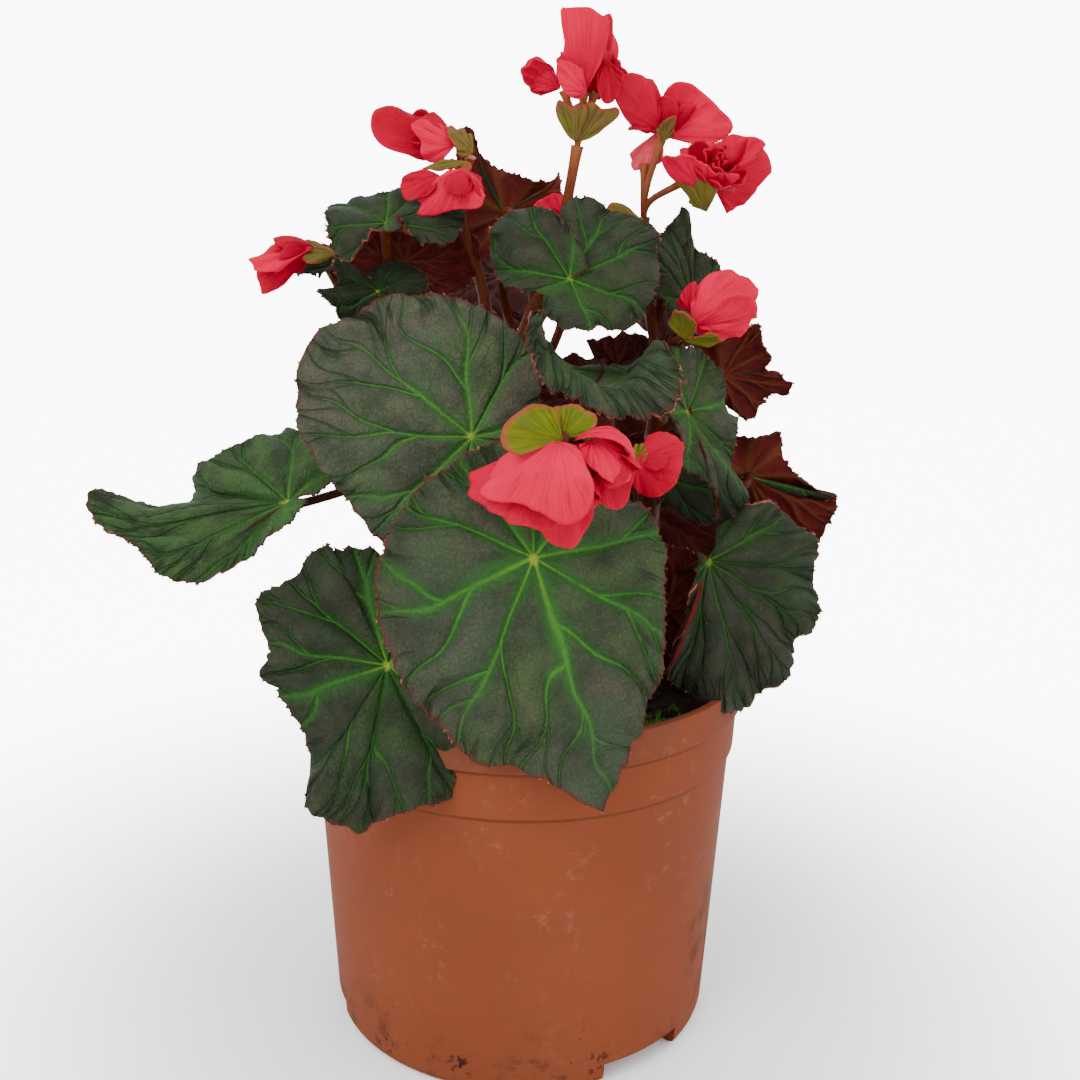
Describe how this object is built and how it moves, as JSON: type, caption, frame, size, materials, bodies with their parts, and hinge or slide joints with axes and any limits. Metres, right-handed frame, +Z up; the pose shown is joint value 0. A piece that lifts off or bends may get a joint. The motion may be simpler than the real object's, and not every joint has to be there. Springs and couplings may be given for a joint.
{
  "type": "potted begonia",
  "caption": "Flowering begonia with round toothed dark leaves, coral-red double blooms and reddish stems, growing in a tapered terracotta-coloured plastic nursery pot.",
  "frame": {"origin": "middle of the pot's underside, on the surface that the pot stands on", "axes": "+Z up, -Y towards the front that faces the viewer, +X to the viewer's right"},
  "size_m": [0.2098, 0.1952, 0.2908],
  "materials": {
    "pot": "matt terracotta-coloured moulded plastic with light scuffs and a little dirt near the foot",
    "soil": "dark damp potting soil",
    "stem": "smooth orange-brown to red-brown stems and stalks",
    "leaf": "dark grey-green upper side with bright green veins, dark red underside, softly satin",
    "petal": "coral-red petals with fine veins, soft sheen",
    "bract": "olive-yellow veined bracts with a pink edge"
  },
  "bodies": {
    "root": {"pot": "pot", "soil": "soil", "stem_front_left": "stem", "stem_front_right": "stem", "stem_back_left": "stem", "stem_back_middle": "stem", "stem_back_right": "stem", "leaf_front": "leaf", "leaf_front_left_upper": "leaf", "leaf_left_lower": "leaf", "leaf_far_left": "leaf", "leaf_centre_upper": "leaf", "leaf_centre_cup": "leaf", "leaf_right_centre": "leaf", "leaf_right_centre_low": "leaf", "leaf_right_lower": "leaf", "leaf_right_behind": "leaf", "leaf_right_upper_behind": "leaf", "leaf_right_upper": "leaf", "leaf_left_upper": "leaf", "leaf_back_upper": "leaf", "leaf_young_left": "leaf", "leaf_young_left_low": "leaf", "leaf_inner_left": "leaf", "leaf_left_side": "leaf", "leaf_left_side_low": "leaf", "leaf_back_low_left": "leaf", "leaf_back_low_middle": "leaf", "leaf_back_low_right": "leaf", "leaf_inner_right": "leaf", "leaf_right_side": "leaf", "leaf_right_side_low": "leaf", "leaf_back_middle_left": "leaf", "leaf_back_middle_right": "leaf", "leaf_back_top": "leaf", "leaf_back_top_right": "leaf", "bloom_front": "petal", "bloom_front_right": "petal", "bloom_front_behind": "petal", "bloom_right": "petal", "bloom_top_right_back": "petal", "bloom_top_right_front": "petal", "bloom_top": "petal", "bloom_top_bud": "petal", "bloom_left_tube": "petal", "bloom_left_nodding": "petal", "bloom_far_left": "petal", "bloom_behind_leaf": "petal", "bloom_low_bud": "petal", "calyx_front": "bract", "calyx_front_right": "bract", "calyx_front_behind": "bract", "calyx_right": "bract", "calyx_top_right_back": "bract", "calyx_top_right_front": "bract", "calyx_top": "bract", "calyx_left_tube": "bract", "calyx_left_nodding": "bract", "calyx_far_left": "bract"}
  },
  "joints": []
}
